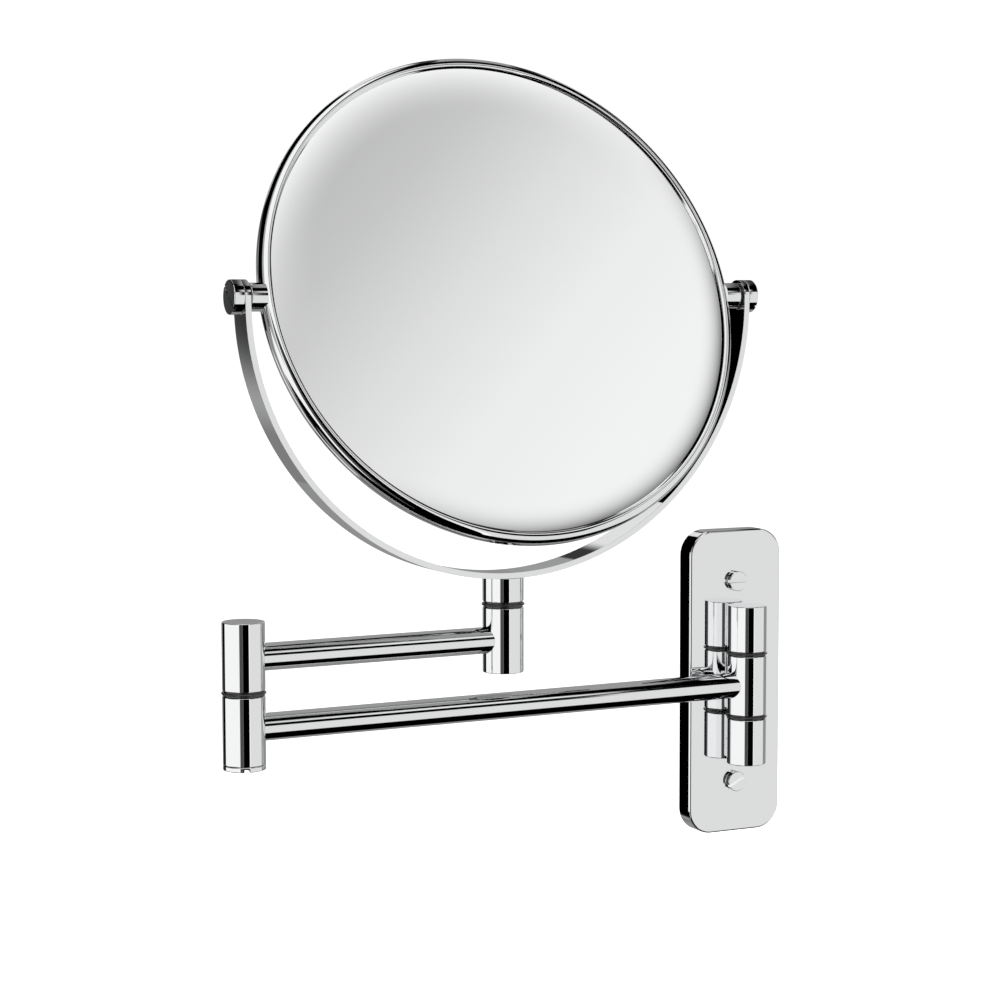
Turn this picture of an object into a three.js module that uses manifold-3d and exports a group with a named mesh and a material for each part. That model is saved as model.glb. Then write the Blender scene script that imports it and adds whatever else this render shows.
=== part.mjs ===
// Extendable shaving mirror for a bathroom wall. Millimetres, +Z up.
// The origin is the middle of the wall plate's back face. +X runs along the wall and -Y faces the user.
import * as THREE from "three";
import { mergeVertices } from "three/addons/utils/BufferGeometryUtils.js";
import Module from "manifold-3d";

const wasm = await Module();
wasm.setup();

// ---- driving dimensions ----
const BARREL_R = 8.5;          // turned hinge barrels of every column
const PIN_R = 3;               // steel hinge pins
const RUNNING_GAP = 0.05;      // radial clearance of a pin or shank in its bore
const SEAT_GAP = 0.1;          // clearance between faces that rest on each other
const WELD_GAP = 0.15;         // clearance of a coped or saddled joint
const WASHER_PROUD = 0.4;      // bearing washers stand this far out of the barrels

const TUBE_R = 5.5;
const TUBE_WALL = 1.2;
const SPIGOT_REACH = 8;        // length of a barrel's spigot inside its tube
const LOWER_ARM = 234;         // wall column to elbow column
const UPPER_ARM = 114.4;       // elbow column to mirror column
const UPPER_ARM_Z = 27.8;
const ARM_REST_DEG = 1.8;      // the folded arms stand this far out from the wall

const PLATE_W = 45.5;
const PLATE_H = 133.5;
const PLATE_T = 9;
const PLATE_CORNER_R = 11;
const PLATE_BEVEL = 1;
const PLATE_FRONT_WALL = 2.5;
const PLATE_SIDE_WALL = 2;
const BRACKET_T = 4;
const COLUMN_GAP = 1.3;        // plate front to the wall column's barrels
const STUD_R = 3.2;
const PLATE_SCREW_GAP = 9.6;   // end of the wall column to a plate screw's middle
const PLATE_SCREW_HEAD_R = 4.35;
const PLATE_SCREW_HEAD_H = 2.5;
const PLATE_SCREW_SHANK_R = 2;
const WALL_SCREW_HOLE_R = 2.6;
const WALL_SCREW_HOLE_Z = 56;

const WALL_ARM_BARREL_H = 25.8;
const WALL_WASHER_H = 1.8;
const WALL_FIXED_BARREL_H = 20;

const UPPER_BARREL_H = 27;     // barrels on both ends of the upper arm
const ELBOW_RISE = 1;          // the elbow's upper barrel stands this much above the swivel barrel
const ELBOW_WASHER_H = 2.2;
const ELBOW_LOWER_BARREL_H = 27.1;
const ELBOW_CAP_H = 2.1;
const ELBOW_CAP_SPIGOT_R = 5;
const ELBOW_CAP_SPIGOT_H = 5;

const SWIVEL_WASHER_H = 2.3;
const YOKE_BARREL_H = 9.9;
const YOKE_STRIP_T = 2.4;
const YOKE_STRIP_W = 13.8;
const YOKE_STRAIGHT = 1.8;     // the strip runs straight from its half circle up to the tilt axis

const KNOB_R = 6.9;
const KNOB_H = 4.3;
const KNOB_SHANK_R = 2.45;
const BOSS_R = 5.65;
const FRICTION_WASHER_T = 0.7;
const FRICTION_WASHER_R = 5.3;
const EAR_CURVE_GAP = 0.2;     // the strip curves inwards this much across a friction washer
const BOSS_OVERLAP = 1.6;      // a boss reaches this far over the rim's two faces

const RIM_R = 105;             // outside of the mirror's rim
const RIM_HALF_DEPTH = 4.2;
const RIM_TO_YOKE = 8.2;       // outside of the rim to outside of the yoke
const RIM_WALL = 2.6;
const RIM_FACE_W = 4.9;        // width of the bezel seen around the glass
const GLASS_T = 1.2;
const GLASS_FACE = 2.6;        // each glass face from the rim's middle plane
const MAGNIFIER_SAG = 2.3;
const MIRROR_TILT_DEG = -20.5; // leans back, facing slightly up

const SLOT_W = 1.2;
const UPPER_SCREW_SLOT_DEG = 0;
const LOWER_SCREW_SLOT_DEG = 25;
const CAP_SLOT_DEG = -14;
const KNOB_SLOT_DEG = 40;
const CHAMFER = 0.4;
const ROUND_STEPS = 36;
const RIM_STEPS = 72;

// ---- derived heights and positions ----
const rad = THREE.MathUtils.degToRad;
const wallAxisY = -(PLATE_T + COLUMN_GAP + BARREL_R);
const wallArmTop = WALL_ARM_BARREL_H / 2;
const wallFixedNear = wallArmTop + WALL_WASHER_H;
const wallFixedFar = wallFixedNear + WALL_FIXED_BARREL_H;
const plateScrewZ = wallFixedFar + PLATE_SCREW_GAP;
const upperBarrelLow = UPPER_ARM_Z - UPPER_BARREL_H / 2;
const upperBarrelTop = UPPER_ARM_Z + UPPER_BARREL_H / 2;
const elbowUpperLow = upperBarrelLow + ELBOW_RISE;
const elbowUpperTop = upperBarrelTop + ELBOW_RISE;
const elbowLowerTop = elbowUpperLow - ELBOW_WASHER_H;
const elbowLowerLow = elbowLowerTop - ELBOW_LOWER_BARREL_H;
const yokeBarrelLow = upperBarrelTop + SWIVEL_WASHER_H;
const boreR = PIN_R + RUNNING_GAP;
const tubeBoreR = TUBE_R - TUBE_WALL;
const yokeR = RIM_R + RIM_TO_YOKE;
const yokeInnerR = yokeR - YOKE_STRIP_T;
const yokeLow = yokeBarrelLow + YOKE_BARREL_H;
const pivotZ = yokeLow + yokeR + YOKE_STRAIGHT;
const glassR = RIM_R - RIM_WALL;
const glassSeenR = RIM_R - RIM_FACE_W;
const washerR = BARREL_R + WASHER_PROUD;
const bossOuter = yokeInnerR - FRICTION_WASHER_T - EAR_CURVE_GAP;

// ---- materials ----
const finish = (color, roughness, metalness) =>
  new THREE.MeshStandardMaterial({ color, roughness, metalness });
const chrome = finish(0xd9dce0, 0.06, 1);
const steel = finish(0x9fa3a8, 0.3, 1);
const darkPlastic = finish(0x2b2c2e, 0.5, 0);
const silvered = finish(0xf2f4f5, 0.02, 1);
const foam = finish(0x6a6c6e, 0.8, 0);

// ---- solids ----
function solidOf(geometry) {
  const bare = geometry.clone();
  bare.deleteAttribute("normal");
  bare.deleteAttribute("uv");
  const merged = mergeVertices(bare, 1e-4);
  const corners = merged.index.array;
  const kept = [];
  for (let i = 0; i < corners.length; i += 3) {
    const [a, b, c] = [corners[i], corners[i + 1], corners[i + 2]];
    if (a !== b && b !== c && c !== a) kept.push(a, b, c);
  }
  return new wasm.Manifold(new wasm.Mesh({
    numProp: 3,
    vertProperties: new Float32Array(merged.attributes.position.array),
    triVerts: new Uint32Array(kept),
  }));
}

function piece(name, solid, material) {
  const cut = solid.getMesh();
  const geometry = new THREE.BufferGeometry();
  geometry.setAttribute("position", new THREE.BufferAttribute(new Float32Array(cut.vertProperties), 3));
  geometry.setIndex(new THREE.BufferAttribute(new Uint32Array(cut.triVerts), 1));
  geometry.computeVertexNormals();
  const mesh = new THREE.Mesh(geometry, material);
  mesh.name = name;
  return mesh;
}

// A turned solid: the profile lists [radius, height] and the heights run along the chosen axis.
function turned(profile, axis = "z", steps = ROUND_STEPS) {
  const points = profile.map(([r, h]) => new THREE.Vector2(r, h));
  const geometry = new THREE.LatheGeometry(points, steps);
  if (axis === "z") geometry.rotateX(Math.PI / 2);
  if (axis === "x") geometry.rotateZ(-Math.PI / 2);
  return solidOf(geometry);
}

const rod = (r, low, high, axis = "z", steps = ROUND_STEPS) =>
  turned([[0, low], [r, low], [r, high], [0, high]], axis, steps);

const softRod = (r, low, high, edge, axis = "z") => turned([
  [0, low],
  [r - edge, low],
  [r, low + edge],
  [r, high - edge],
  [r - edge, high],
  [0, high],
], axis);

const block = (w, d, h) => solidOf(new THREE.BoxGeometry(w, d, h));

function roundedSlab(w, h, cornerR, depth, bevel = 0) {
  const [x, y, r] = [w / 2 - bevel, h / 2 - bevel, cornerR - bevel];
  const shape = new THREE.Shape();
  shape.moveTo(x, -y + r);
  shape.lineTo(x, y - r);
  shape.absarc(x - r, y - r, r, 0, Math.PI / 2);
  shape.lineTo(-x + r, y);
  shape.absarc(-x + r, y - r, r, Math.PI / 2, Math.PI);
  shape.lineTo(-x, -y + r);
  shape.absarc(-x + r, -y + r, r, Math.PI, Math.PI * 1.5);
  shape.lineTo(x - r, -y);
  shape.absarc(x - r, -y + r, r, Math.PI * 1.5, Math.PI * 2);
  const geometry = new THREE.ExtrudeGeometry(shape, {
    depth: depth - bevel,
    bevelEnabled: bevel > 0,
    bevelThickness: bevel,
    bevelSize: bevel,
    bevelSegments: 3,
    curveSegments: 10,
  });
  geometry.rotateX(Math.PI / 2);
  return solidOf(geometry);
}

// ---- wall plate, bracket and their screws ----
const screwHoles = (r) => rod(r, -PLATE_T - 1, 1, "y").translate(0, 0, plateScrewZ)
  .add(rod(r, -PLATE_T - 1, 1, "y").translate(0, 0, -plateScrewZ));
const studZ = (wallFixedNear + wallFixedFar) / 2;
const studHoles = (r) => rod(r, -PLATE_T - 1, 1, "y").translate(0, 0, studZ)
  .add(rod(r, -PLATE_T - 1, 1, "y").translate(0, 0, -studZ));

function wallPlate() {
  const behind = block(PLATE_W * 2, PLATE_T * 2, PLATE_H * 2).translate(0, PLATE_T, 0);
  const hollow = roundedSlab(
    PLATE_W - 2 * PLATE_SIDE_WALL,
    PLATE_H - 2 * PLATE_SIDE_WALL,
    PLATE_CORNER_R - PLATE_SIDE_WALL,
    PLATE_T - PLATE_FRONT_WALL + 1,
  ).translate(0, 1, 0);
  return roundedSlab(PLATE_W, PLATE_H, PLATE_CORNER_R, PLATE_T, PLATE_BEVEL)
    .subtract(behind)
    .subtract(hollow)
    .subtract(screwHoles(PLATE_SCREW_SHANK_R + 0.3))
    .subtract(studHoles(STUD_R + WELD_GAP));
}

function mountingBracket() {
  const play = PLATE_SIDE_WALL + WELD_GAP;
  const wallHole = rod(WALL_SCREW_HOLE_R, -BRACKET_T - 1, 1, "y");
  return roundedSlab(PLATE_W - 2 * play, PLATE_H - 2 * play, PLATE_CORNER_R - play, BRACKET_T)
    .subtract(screwHoles(PLATE_SCREW_SHANK_R + RUNNING_GAP))
    .subtract(studHoles(STUD_R + RUNNING_GAP))
    .subtract(wallHole.translate(0, 0, WALL_SCREW_HOLE_Z))
    .subtract(wallHole.translate(0, 0, -WALL_SCREW_HOLE_Z));
}

function plateScrew(slotDeg) {
  const seat = -PLATE_T - SEAT_GAP;
  const face = seat - PLATE_SCREW_HEAD_H;
  const head = softRod(PLATE_SCREW_HEAD_R, face, seat, CHAMFER, "y");
  const shank = rod(PLATE_SCREW_SHANK_R, seat - 1, -1, "y");
  const slot = block(PLATE_SCREW_HEAD_R * 3, SLOT_W * 2, SLOT_W)
    .rotate([0, -slotDeg, 0])
    .translate(0, face, 0);
  return head.add(shank).subtract(slot);
}

// ---- barrels and tubes ----
const barrel = (low, high) => softRod(BARREL_R, low, high, CHAMFER);
const spigot = (direction, z) => {
  const reach = rod(tubeBoreR - RUNNING_GAP, BARREL_R - 2, BARREL_R + SPIGOT_REACH, "x");
  return (direction > 0 ? reach : reach.rotate([0, 0, 180])).translate(0, 0, z);
};

function wallFixedBarrel(side) {
  const [low, high] = [wallFixedNear + SEAT_GAP, wallFixedFar];
  const stud = rod(STUD_R, BARREL_R / 2, -wallAxisY - 1, "y").translate(0, 0, studZ);
  const body = barrel(low, high).add(stud).subtract(rod(boreR, low - 1, high - PIN_R));
  return side > 0 ? body : body.mirror([0, 0, 1]);
}

const washer = (low, high) => {
  const soft = (high - low) / 3;
  return turned([
    [PIN_R + 0.3, low],
    [washerR - soft, low],
    [washerR, low + soft],
    [washerR, high - soft],
    [washerR - soft, high],
    [PIN_R + 0.3, high],
    [PIN_R + 0.3, low],
  ]);
};

function armTube(length) {
  const cope = rod(BARREL_R + WELD_GAP, -TUBE_R * 2, TUBE_R * 2);
  return rod(TUBE_R, 0, length, "x")
    .subtract(rod(tubeBoreR, -1, length + 1, "x"))
    .subtract(cope)
    .subtract(cope.translate(length, 0, 0));
}

// ---- elbow end cap ----
const capSpigotTop = elbowLowerLow + ELBOW_CAP_SPIGOT_H;
function elbowCap() {
  const [low, high] = [elbowLowerLow - ELBOW_CAP_H, elbowLowerLow - SEAT_GAP];
  const slot = block(SLOT_W * 1.8, BARREL_R * 3, SLOT_W * 2)
    .rotate([0, 0, CAP_SLOT_DEG])
    .translate(0, 0, low);
  return softRod(BARREL_R, low, high, CHAMFER)
    .add(rod(ELBOW_CAP_SPIGOT_R - RUNNING_GAP, high - 1, capSpigotTop))
    .subtract(slot);
}

// ---- yoke ----
function yokeStrip() {
  const earTop = KNOB_R;
  const shape = new THREE.Shape();
  shape.moveTo(yokeR, earTop);
  shape.lineTo(yokeR, -YOKE_STRAIGHT);
  shape.absarc(0, -YOKE_STRAIGHT, yokeR, 0, -Math.PI, true);
  shape.lineTo(-yokeR, earTop);
  shape.lineTo(-yokeInnerR, earTop);
  shape.lineTo(-yokeInnerR, -YOKE_STRAIGHT);
  shape.absarc(0, -YOKE_STRAIGHT, yokeInnerR, -Math.PI, 0, false);
  shape.lineTo(yokeInnerR, earTop);
  const geometry = new THREE.ExtrudeGeometry(shape, {
    depth: YOKE_STRIP_W,
    bevelEnabled: false,
    curveSegments: RIM_STEPS / 2,
  });
  geometry.rotateX(Math.PI / 2);
  geometry.translate(0, YOKE_STRIP_W / 2, 0);
  const belowPivot = block(yokeR * 3, yokeR, yokeR * 2.5).translate(0, 0, -yokeR * 1.25);
  const roundEnds = rod(YOKE_STRIP_W / 2, -yokeR - 1, yokeR + 1, "x");
  return solidOf(geometry)
    .intersect(belowPivot.add(roundEnds))
    .subtract(rod(KNOB_SHANK_R + RUNNING_GAP, -yokeR - 1, yokeR + 1, "x"))
    .translate(0, 0, pivotZ);
}

function yokeBarrel() {
  const stripCurve = rod(yokeR + WELD_GAP, -BARREL_R * 2, BARREL_R * 2, "y", RIM_STEPS)
    .translate(0, 0, pivotZ - YOKE_STRAIGHT);
  const low = yokeBarrelLow + SEAT_GAP;
  return turned([
    [0, low],
    [BARREL_R - CHAMFER, low],
    [BARREL_R, low + CHAMFER],
    [BARREL_R, yokeLow + 2],
    [0, yokeLow + 2],
  ])
    .intersect(block(BARREL_R * 3, YOKE_STRIP_W, BARREL_R * 3).translate(0, 0, low + BARREL_R)
      .add(rod(BARREL_R + 1, low - 1, yokeLow - 1)))
    .subtract(stripCurve)
    .subtract(rod(boreR, low - 1, yokeLow - 3));
}

function pivotKnob() {
  const seat = yokeR + SEAT_GAP;
  const face = seat + KNOB_H;
  const shankEnd = RIM_R + 2;
  const slot = block(SLOT_W * 2, KNOB_R * 3, SLOT_W)
    .rotate([KNOB_SLOT_DEG, 0, 0])
    .translate(face, 0, 0);
  return softRod(KNOB_R, seat, face, CHAMFER, "x")
    .add(rod(KNOB_SHANK_R, shankEnd, seat + 1, "x"))
    .subtract(slot);
}

// ---- mirror, built facing -Y around the tilt axis ----
const rimNotch = rod(KNOB_SHANK_R + RUNNING_GAP, -RIM_R * 2, RIM_R * 2, "x");

function bezel(side) {
  const pocketR = glassR + WELD_GAP;
  const lip = GLASS_FACE + WELD_GAP;
  const crest = RIM_HALF_DEPTH;
  const profile = [
    [pocketR, WELD_GAP],
    [RIM_R, WELD_GAP],
    [RIM_R, crest - 1.9],
    [RIM_R - 0.3, crest - 1.1],
    [RIM_R - 1, crest - 0.5],
    [RIM_R - 1.8, crest - 0.15],
    [RIM_R - 2.7, crest],
    [glassSeenR + 1.4, crest],
    [glassSeenR + 0.7, crest - 0.35],
    [glassSeenR, lip + 0.3],
    [glassSeenR, lip],
    [pocketR, lip],
    [pocketR, WELD_GAP],
  ];
  const ring = turned(profile, "z", RIM_STEPS).rotate([90, 0, 0]).subtract(rimNotch);
  return side > 0 ? ring : ring.mirror([0, 1, 0]);
}

const plainGlass = () => rod(glassR, GLASS_FACE - GLASS_T, GLASS_FACE, "z", RIM_STEPS).rotate([90, 0, 0]);

function magnifyingGlass() {
  const rings = 6;
  const dish = (r, rimHeight) => rimHeight + MAGNIFIER_SAG * (1 - (r / glassR) ** 2);
  const radii = Array.from({ length: rings + 1 }, (_, i) => glassR * i / rings);
  const front = radii.map((r) => [r, dish(r, -GLASS_FACE)]);
  const back = radii.map((r) => [r, dish(r, -GLASS_FACE + GLASS_T)]).reverse();
  return turned([...front, ...back], "z", RIM_STEPS).rotate([90, 0, 0]);
}

function glassSpacer() {
  const inner = glassSeenR - 2;
  const top = GLASS_FACE - GLASS_T - SEAT_GAP;
  const low = -top + 0.25;
  return turned([[inner, low], [glassR, low], [glassR, top], [inner, top], [inner, low]], "z", RIM_STEPS)
    .rotate([90, 0, 0]);
}

function pivotBoss() {
  const overRim = RIM_HALF_DEPTH + WELD_GAP;
  const rimCurve = rod(RIM_R + WELD_GAP, -overRim, overRim, "y", RIM_STEPS);
  const stud = rod(KNOB_SHANK_R, glassR + 2 * WELD_GAP + 0.3, RIM_R + 1, "x");
  return softRod(BOSS_R, RIM_R - BOSS_OVERLAP, bossOuter, CHAMFER / 2, "x")
    .subtract(rimCurve)
    .subtract(rod(KNOB_SHANK_R + RUNNING_GAP, RIM_R + 1.5, bossOuter + 1, "x"))
    .add(stud);
}

function frictionWasher() {
  const bore = KNOB_SHANK_R + RUNNING_GAP;
  const [low, high] = [bossOuter + SEAT_GAP / 2, bossOuter + SEAT_GAP / 2 + FRICTION_WASHER_T];
  return turned([
    [bore, low],
    [FRICTION_WASHER_R, low],
    [FRICTION_WASHER_R, high],
    [bore, high],
    [bore, low],
  ], "x");
}

const otherSide = (solid) => solid.mirror([1, 0, 0]);

// ---- the fixed part on the wall ----
const group = new THREE.Group();
group.name = "extendable_shaving_mirror";
group.add(piece("wall_plate", wallPlate(), chrome));
group.add(piece("mounting_bracket", mountingBracket(), steel));
const upperScrew = plateScrew(UPPER_SCREW_SLOT_DEG).translate(0, 0, plateScrewZ);
const lowerScrew = plateScrew(LOWER_SCREW_SLOT_DEG).translate(0, 0, -plateScrewZ);
group.add(piece("upper_plate_screw", upperScrew, chrome));
group.add(piece("lower_plate_screw", lowerScrew, chrome));

const wallColumn = new THREE.Group();
wallColumn.position.set(0, wallAxisY, 0);
group.add(wallColumn);
wallColumn.add(piece("upper_wall_barrel", wallFixedBarrel(1), chrome));
wallColumn.add(piece("lower_wall_barrel", wallFixedBarrel(-1), chrome));
const wallPinEnd = wallFixedFar - PIN_R - SEAT_GAP;
wallColumn.add(piece("wall_hinge_pin", rod(PIN_R, -wallPinEnd, wallPinEnd), steel));
wallColumn.add(piece("upper_wall_washer", washer(wallArmTop + SEAT_GAP, wallFixedNear), darkPlastic));
wallColumn.add(piece("lower_wall_washer", washer(-wallFixedNear, -wallArmTop - SEAT_GAP), darkPlastic));

// ---- lower arm, reaching along -X from the wall column ----
const lowerArm = new THREE.Group();
lowerArm.position.copy(wallColumn.position);
lowerArm.rotation.z = rad(ARM_REST_DEG);
group.add(lowerArm);
const armBarrel = barrel(-wallArmTop, wallArmTop)
  .add(spigot(-1, 0))
  .subtract(rod(boreR, -wallArmTop - 1, wallArmTop + 1));
lowerArm.add(piece("wall_arm_barrel", armBarrel, chrome));
lowerArm.add(piece("lower_arm_tube", armTube(LOWER_ARM).translate(-LOWER_ARM, 0, 0), chrome));

const elbowLower = new THREE.Group();
elbowLower.position.set(-LOWER_ARM, 0, 0);
lowerArm.add(elbowLower);
const elbowLowerBarrel = barrel(elbowLowerLow, elbowLowerTop)
  .add(spigot(1, 0))
  .subtract(rod(boreR, elbowLowerLow - 1, elbowLowerTop + 1))
  .subtract(rod(ELBOW_CAP_SPIGOT_R, elbowLowerLow - 1, capSpigotTop + SEAT_GAP));
elbowLower.add(piece("elbow_lower_barrel", elbowLowerBarrel, chrome));
elbowLower.add(piece("elbow_end_cap", elbowCap(), chrome));
const elbowWasher = washer(elbowLowerTop + SEAT_GAP, elbowUpperLow - SEAT_GAP);
elbowLower.add(piece("elbow_washer", elbowWasher, darkPlastic));

// ---- upper arm, folded back over the lower arm ----
const upperArm = new THREE.Group();
elbowLower.add(upperArm);
const elbowPinTop = elbowUpperTop - PIN_R - SEAT_GAP;
const elbowUpperBarrel = barrel(elbowUpperLow, elbowUpperTop)
  .add(spigot(1, UPPER_ARM_Z))
  .subtract(rod(boreR, elbowUpperLow - 1, elbowUpperTop - PIN_R));
upperArm.add(piece("elbow_upper_barrel", elbowUpperBarrel, chrome));
upperArm.add(piece("elbow_pin", rod(PIN_R, capSpigotTop + 2 * SEAT_GAP, elbowPinTop), steel));
upperArm.add(piece("upper_arm_tube", armTube(UPPER_ARM).translate(0, 0, UPPER_ARM_Z), chrome));

const mirrorColumn = new THREE.Group();
mirrorColumn.position.set(UPPER_ARM, 0, 0);
upperArm.add(mirrorColumn);
const swivelPinLow = upperBarrelLow + PIN_R;
const swivelBarrel = barrel(upperBarrelLow, upperBarrelTop)
  .add(spigot(-1, UPPER_ARM_Z))
  .subtract(rod(boreR, swivelPinLow, upperBarrelTop + 1));
mirrorColumn.add(piece("swivel_barrel", swivelBarrel, chrome));
mirrorColumn.add(piece("swivel_washer", washer(upperBarrelTop + SEAT_GAP, yokeBarrelLow), darkPlastic));

// ---- yoke, parallel to the wall at rest ----
const yoke = new THREE.Group();
yoke.rotation.z = -rad(ARM_REST_DEG);
mirrorColumn.add(yoke);
const swivelPinTop = yokeLow - PIN_R - SEAT_GAP;
yoke.add(piece("yoke_barrel", yokeBarrel(), chrome));
yoke.add(piece("swivel_pin", rod(PIN_R, swivelPinLow + SEAT_GAP, swivelPinTop), steel));
yoke.add(piece("yoke_strip", yokeStrip(), chrome));

const tiltAxis = new THREE.Group();
tiltAxis.position.set(0, 0, pivotZ);
yoke.add(tiltAxis);
tiltAxis.add(piece("right_pivot_knob", pivotKnob(), chrome));
tiltAxis.add(piece("left_pivot_knob", otherSide(pivotKnob()), chrome));
tiltAxis.add(piece("right_friction_washer", frictionWasher(), darkPlastic));
tiltAxis.add(piece("left_friction_washer", otherSide(frictionWasher()), darkPlastic));

// ---- mirror ----
const mirror = new THREE.Group();
mirror.rotation.x = rad(MIRROR_TILT_DEG);
tiltAxis.add(mirror);
mirror.add(piece("front_bezel", bezel(1), chrome));
mirror.add(piece("rear_bezel", bezel(-1), chrome));
mirror.add(piece("plain_glass", plainGlass(), silvered));
mirror.add(piece("magnifying_glass", magnifyingGlass(), silvered));
mirror.add(piece("glass_spacer", glassSpacer(), foam));
mirror.add(piece("right_pivot_boss", pivotBoss(), chrome));
mirror.add(piece("left_pivot_boss", otherSide(pivotBoss()), chrome));

export default group;
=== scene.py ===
# %% [markdown]
# # An extendable shaving mirror, piece by piece
# A round mirror tilts in a half-round yoke, and the yoke stands on two chromed tubes that fold against the
# wall. Nearly everything is polished chrome, so the shapes are simple and the reflections do the talking.
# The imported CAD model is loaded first. It fixes every size and place, and each piece modelled here takes its
# numbers from it.

# %% Load the frame
import math

import bpy
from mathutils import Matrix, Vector


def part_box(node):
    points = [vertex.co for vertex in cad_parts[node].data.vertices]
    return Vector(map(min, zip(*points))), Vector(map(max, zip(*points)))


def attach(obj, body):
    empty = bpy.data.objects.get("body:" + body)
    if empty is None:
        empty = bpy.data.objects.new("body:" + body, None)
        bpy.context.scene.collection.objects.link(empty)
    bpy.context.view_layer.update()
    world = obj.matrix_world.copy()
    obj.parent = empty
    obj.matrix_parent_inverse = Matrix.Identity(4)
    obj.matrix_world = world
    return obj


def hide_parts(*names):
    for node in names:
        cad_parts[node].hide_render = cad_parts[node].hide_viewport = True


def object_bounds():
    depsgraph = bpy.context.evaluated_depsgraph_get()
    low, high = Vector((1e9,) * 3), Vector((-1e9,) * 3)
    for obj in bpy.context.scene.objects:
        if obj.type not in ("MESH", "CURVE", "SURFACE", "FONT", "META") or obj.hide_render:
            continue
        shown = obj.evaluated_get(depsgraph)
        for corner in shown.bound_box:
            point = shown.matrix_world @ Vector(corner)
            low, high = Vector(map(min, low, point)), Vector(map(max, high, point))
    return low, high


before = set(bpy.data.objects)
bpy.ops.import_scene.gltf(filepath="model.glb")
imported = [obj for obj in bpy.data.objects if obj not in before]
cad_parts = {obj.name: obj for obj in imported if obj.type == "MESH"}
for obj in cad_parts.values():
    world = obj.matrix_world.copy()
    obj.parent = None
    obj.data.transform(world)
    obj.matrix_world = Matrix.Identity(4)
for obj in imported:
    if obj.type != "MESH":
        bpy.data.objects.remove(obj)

MM = 0.001
NEAR = 0.01 * MM  # closer than this counts as the same place
WELD = 0.001 * MM  # points closer than this are merged

cad_low, cad_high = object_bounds()
print("CAD box in mm:", [round((b - a) / MM, 1) for a, b in zip(cad_low, cad_high)])

# %% [markdown]
# ## Measuring the frame
# The three columns are upright hinges. The middle of each hinge pin's box is a point on its axis, and the
# height of a pivot knob's middle is the height of the tilt axis. Everything else is measured from these.


# %% Axes and heights
def middle(node):
    low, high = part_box(node)
    return (low + high) / 2


def heights(node):
    low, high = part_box(node)
    return low.z, high.z


def radius_of(node):
    low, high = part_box(node)
    return (high.x - low.x) / 2


BORE_CLEARANCE = 0.05 * MM

wall_axis = middle("wall_hinge_pin")
elbow_axis = middle("elbow_pin")
swivel_axis = middle("swivel_pin")
pivot = Vector((swivel_axis.x, swivel_axis.y, middle("left_pivot_knob").z))
arm_turn = math.atan2(wall_axis.y - elbow_axis.y, wall_axis.x - elbow_axis.x)
barrel_radius = radius_of("upper_wall_barrel")
bore_radius = radius_of("elbow_pin") + BORE_CLEARANCE
print("columns at x =", [round(a.x / MM, 1) for a in (wall_axis, elbow_axis, swivel_axis)], "mm")
print("arm turned", round(math.degrees(arm_turn), 2), "degrees, tilt axis", round(pivot.z / MM, 1), "mm up")

# %% [markdown]
# ## Helpers for turned work
# Most pieces came off a lathe. On screen a turned piece can be made the same way: a circle is added at the
# start of the profile, and each next point of the profile is one extrusion of that circle, moved along the
# axis and resized. A profile that closes on itself is bridged, and one that ends on a flat face is filled.
# This gives clean rings of faces with no seam, which polished metal needs, because a reflection shows every
# flat spot.


# %% Object and edit mode helpers
def clear_selection():
    if bpy.context.object and bpy.context.object.mode != "OBJECT":
        bpy.ops.object.mode_set(mode="OBJECT")
    bpy.ops.object.select_all(action="DESELECT")


def pick(obj):
    clear_selection()
    obj.select_set(True)
    bpy.context.view_layer.objects.active = obj


def settle(obj, name):
    """Names the piece and puts its place into its mesh."""
    pick(obj)
    bpy.ops.object.transform_apply(location=True, rotation=True, scale=True)
    obj.name = name
    obj.data.name = name
    return obj


def clean(obj):
    pick(obj)
    bpy.ops.object.mode_set(mode="EDIT")
    bpy.ops.mesh.select_all(action="SELECT")
    bpy.ops.mesh.remove_doubles(threshold=WELD)
    bpy.ops.mesh.normals_make_consistent(inside=False)
    bpy.ops.object.mode_set(mode="OBJECT")


def smooth(obj, degrees=35):
    pick(obj)
    bpy.ops.object.shade_smooth_by_angle(angle=math.radians(degrees))


# %% The lathe
LATHE_TURN = {"Z": (0, 0, 0), "X": (0, math.pi / 2, 0), "Y": (math.pi / 2, 0, 0)}


def lathe(name, profile, centre=(0, 0, 0), axis="Z", steps=96, ring=False):
    """Turns a profile of (radius, height) points. Heights run along +Z, +X or -Y from the centre."""
    clear_selection()
    radius, height = profile[0]
    bpy.ops.mesh.primitive_circle_add(vertices=steps, radius=radius, location=(0, 0, height))
    obj = bpy.context.object
    bpy.ops.object.transform_apply(location=True, rotation=True, scale=True)
    bpy.ops.object.mode_set(mode="EDIT")
    bpy.ops.mesh.select_all(action="SELECT")
    if not ring:
        bpy.ops.mesh.edge_face_add()
    for next_radius, next_height in profile[1:]:
        bpy.ops.mesh.extrude_region_move(
            TRANSFORM_OT_translate={"value": (0, 0, next_height - height)}
        )
        grow = next_radius / radius
        bpy.ops.transform.resize(value=(grow, grow, 1), center_override=(0, 0, next_height))
        radius, height = next_radius, next_height
    if ring:
        bpy.ops.mesh.select_all(action="SELECT")
        bpy.ops.mesh.region_to_loop()
        bpy.ops.mesh.bridge_edge_loops()
    bpy.ops.object.mode_set(mode="OBJECT")
    clean(obj)
    obj.location = centre
    obj.rotation_euler = LATHE_TURN[axis]
    return settle(obj, name)


# %% Corners and cuts
def corner(radius, height, edge, start, steps=5):
    """A rounded corner: a quarter circle of that edge radius around (radius, height), from a start angle."""
    turns = [math.radians(start + 90 * i / steps) for i in range(steps + 1)]
    return [(radius + edge * math.cos(a), height + edge * math.sin(a)) for a in turns]


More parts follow.
